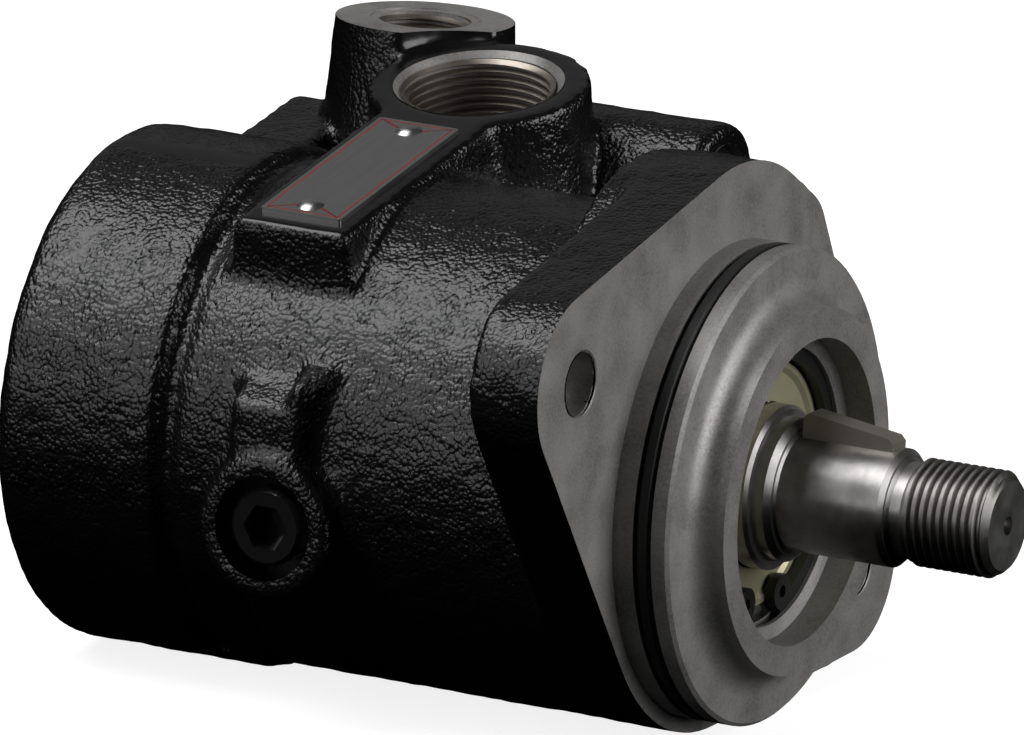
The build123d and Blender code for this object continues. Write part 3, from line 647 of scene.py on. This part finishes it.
def port_thread(name, face, direction, radius, start, end):
    """The inner thread of a port, from just under its chamfer down."""
    crest = radius - THREAD_DEPTH
    bm = thread_surface(THREAD_PITCH, crest, radius + 0.03 * MM, -end, -start)
    for vert in bm.verts:
        away = Vector((vert.co.x, vert.co.y)).length
        limit = crest + max(0.0, vert.co.z + start + 0.6 * THREAD_PITCH)
        if 0 < away < limit:
            scale = min(limit, radius) / away
            vert.co.x *= scale
            vert.co.y *= scale
    bm.normal_update()
    outward(bm, inside=True)
    bmesh.ops.transform(bm, matrix=aligned(direction, face), verts=bm.verts)
    return new_piece(name, bm, [PORT_THREAD], smooth_angle=40)


def shaft_piece():
    """The drive shaft with its thread turned on it instead of the plain end."""
    bm = merged_copy("drive_shaft")
    bare = [f for f in bm.faces if f.calc_center_median().x > SHAFT_THREAD_START + 0.05 * MM
            and abs(f.normal.x) < 0.95]
    bare = [f for f in bare if Vector(f.calc_center_median()[1:]).length > 7 * MM]
    bmesh.ops.delete(bm, geom=bare, context="FACES")
    thread = thread_surface(THREAD_PITCH, SHAFT_THREAD_RADIUS, SHAFT_THREAD_RADIUS - THREAD_DEPTH,
                            SHAFT_THREAD_START, SHAFT_END, segments=72)
    for vert in thread.verts:
        away = Vector((vert.co.x, vert.co.y)).length
        run_in = SHAFT_NECK_RADIUS + 1.3 * (vert.co.z - SHAFT_THREAD_START)
        end_chamfer = SHAFT_THREAD_RADIUS - SHAFT_CHAMFER + (SHAFT_END - vert.co.z)
        limit = min(run_in, end_chamfer, SHAFT_THREAD_RADIUS)
        if away > limit:
            vert.co.x *= limit / away
            vert.co.y *= limit / away
    thread.normal_update()
    outward(thread)
    bmesh.ops.transform(thread, matrix=aligned(X_AXIS, Vector()), verts=thread.verts)
    for face in thread.faces:
        face.material_index = 1
    turned = bpy.data.meshes.new("thread_turned")
    thread.to_mesh(turned)
    thread.free()
    bm.from_mesh(turned)
    bpy.data.meshes.remove(turned)
    return new_piece("shaft_and_thread", bm, [GROUND, THREAD], body="shaft",
                     replaces=["drive_shaft"], smooth_angle=32)


# ---------------------------------------------------------------- name plate
def plate_piece():
    """The name plate with a thin red line inside its edge and no lettering."""
    bm = merged_copy("name_plate")
    bm.normal_update()
    top = [f for f in bm.faces if f.normal.dot(SUCTION_OUT) > 0.99]
    margin = bmesh.ops.inset_region(bm, faces=top, thickness=PLATE_MARGIN, use_even_offset=True)
    field = [f for f in bm.faces if f.normal.dot(SUCTION_OUT) > 0.99 and f not in set(margin["faces"])]
    line = bmesh.ops.inset_region(bm, faces=field, thickness=PLATE_LINE, use_even_offset=True)
    for face in line["faces"]:
        face.material_index = 1
    return new_piece("plate_with_border", bm, [PLATE, RED_LINE], replaces=["name_plate"])


# ---------------------------------------------------------------- stage
def floor():
    """A pale floor. Every ray but the camera's sees it as a painted reflection: black near the pump, a
    painted shade on the pump's underside, and a faint painted glow in front that stands in for a lit table.
    """
    bm = bmesh.new()
    bmesh.ops.create_grid(bm, x_segments=1, y_segments=1, size=6.0,
                          matrix=Matrix.Translation((0, 0, CAD_BOX[0][2])))
    mesh = bpy.data.meshes.new("studio_floor")
    bm.to_mesh(mesh)
    bm.free()
    piece = bpy.data.objects.new("studio_floor", mesh)
    bpy.context.scene.collection.objects.link(piece)
    finish = Finish("pale_floor_with_painted_glow", (0.5, 0.5, 0.5), roughness=0.9, Emission_Strength=FLOOR_GLOW)
    finish.shader.inputs["Emission Color"].default_value = (1, 1, 1, 1)
    split = finish.node("ShaderNodeSeparateXYZ")
    finish.link(finish.place, split.inputs[0])
    step = finish.node("ShaderNodeMapRange")
    step.inputs["From Min"].default_value = -PAINTED_GLOW_START
    step.inputs["From Max"].default_value = -PAINTED_GLOW_START - PAINTED_GLOW_RAMP
    step.inputs["To Min"].default_value = 0.0
    step.inputs["To Max"].default_value = PAINTED_FLOOR_GLOW
    finish.link(split.outputs[1], step.inputs["Value"])
    # painted light and shade: to non-camera rays the floor is only this emission, black near the pump and
    # glowing faintly further in front
    painted_glow = finish.node("ShaderNodeEmission")
    finish.link(step.outputs[0], painted_glow.inputs["Strength"])
    mix = finish.node("ShaderNodeMixShader")
    finish.link(finish.node("ShaderNodeLightPath").outputs["Is Camera Ray"], mix.inputs[0])
    finish.link(painted_glow.outputs[0], mix.inputs[1])
    finish.link(finish.shader.outputs[0], mix.inputs[2])
    finish.link(mix.outputs[0], finish.tree.nodes["Material Output"].inputs["Surface"])
    mesh.materials.append(finish.material)


def room():
    """The room round the stage: dim below, brighter overhead."""
    world = bpy.data.worlds.new("studio_room")
    bpy.context.scene.world = world
    world.use_nodes = True
    tree = world.node_tree
    background = tree.nodes["Background"]
    coordinate = tree.nodes.new("ShaderNodeTexCoord")
    split = tree.nodes.new("ShaderNodeSeparateXYZ")
    tree.links.new(coordinate.outputs["Generated"], split.inputs[0])
    shade = tree.nodes.new("ShaderNodeMapRange")
    shade.inputs["From Min"].default_value = -0.3
    shade.inputs["From Max"].default_value = 0.9
    shade.inputs["To Min"].default_value = 0.004
    shade.inputs["To Max"].default_value = 0.02
    tree.links.new(split.outputs[2], shade.inputs["Value"])
    tree.links.new(shade.outputs[0], background.inputs["Strength"])
    background.inputs["Color"].default_value = (1, 0.99, 0.97, 1)


def lamp(name, direction, distance, size, power, tall=None, aim=(-0.04, 0, 0)):
    """A soft box that looks at the pump, with one pair of its edges close to the shaft's direction."""
    data = bpy.data.lights.new(name, "AREA")
    data.shape = "RECTANGLE"
    data.size = size
    data.size_y = tall or size
    data.energy = power
    light = bpy.data.objects.new(name, data)
    bpy.context.scene.collection.objects.link(light)
    back = Vector(direction).normalized()
    along = (X_AXIS - back * back.x).normalized()
    turn = Matrix((along, back.cross(along), back)).transposed().to_4x4()
    light.matrix_world = Matrix.Translation(Vector(aim) + back * distance) @ turn


def lights():
    lamp("key_box", (-0.44, -0.32, 0.84), 1.6, 1.1, 17, tall=1.05)
    lamp("front_box", (-0.44, -0.82, 0.38), 1.6, 1.1, 6.0, tall=1.15)
    lamp("back_box", (-0.44, 0.70, 0.56), 1.6, 1.3, 0.7)
    lamp("side_box", (0.95, 0.15, 0.3), 1.8, 1.4, 28)


def camera():
    """A long lens on the pump from its shaft end, a little above it."""
    back = Vector((math.sin(VIEW_AZIMUTH) * math.cos(VIEW_ELEVATION),
                   -math.cos(VIEW_AZIMUTH) * math.cos(VIEW_ELEVATION), math.sin(VIEW_ELEVATION)))
    level = Vector((math.cos(VIEW_AZIMUTH), math.sin(VIEW_AZIMUTH), 0))
    upright = back.cross(level)
    right = level * math.cos(VIEW_ROLL) + upright * math.sin(VIEW_ROLL)
    up = upright * math.cos(VIEW_ROLL) - level * math.sin(VIEW_ROLL)
    data = bpy.data.cameras.new("camera")
    data.sensor_width = 36
    data.lens = VIEW_LENS
    data.clip_start = 0.1
    data.clip_end = 30
    view = bpy.data.objects.new("camera", data)
    bpy.context.scene.collection.objects.link(view)
    place = right * VIEW_RIGHT + up * VIEW_UP + back * VIEW_BACK
    view.matrix_world = Matrix.Translation(place) @ Matrix((right, up, back)).transposed().to_4x4()
    bpy.context.scene.camera = view


def build():
    finish_nodes()
    casting()
    machined_faces()
    port_thread("suction_thread", SUCTION_FACE, SUCTION_OUT, SUCTION_RADIUS,
                SUCTION_THREAD_START, SUCTION_THREAD_END)
    port_thread("pressure_thread", PRESSURE_FACE, PRESSURE_OUT, PRESSURE_RADIUS,
                PRESSURE_THREAD_START, PRESSURE_THREAD_END)
    shaft_piece()
    plate_piece()
    floor()
    room()
    lights()
    camera()
    bpy.context.scene.view_settings.view_transform = "Standard"


build()
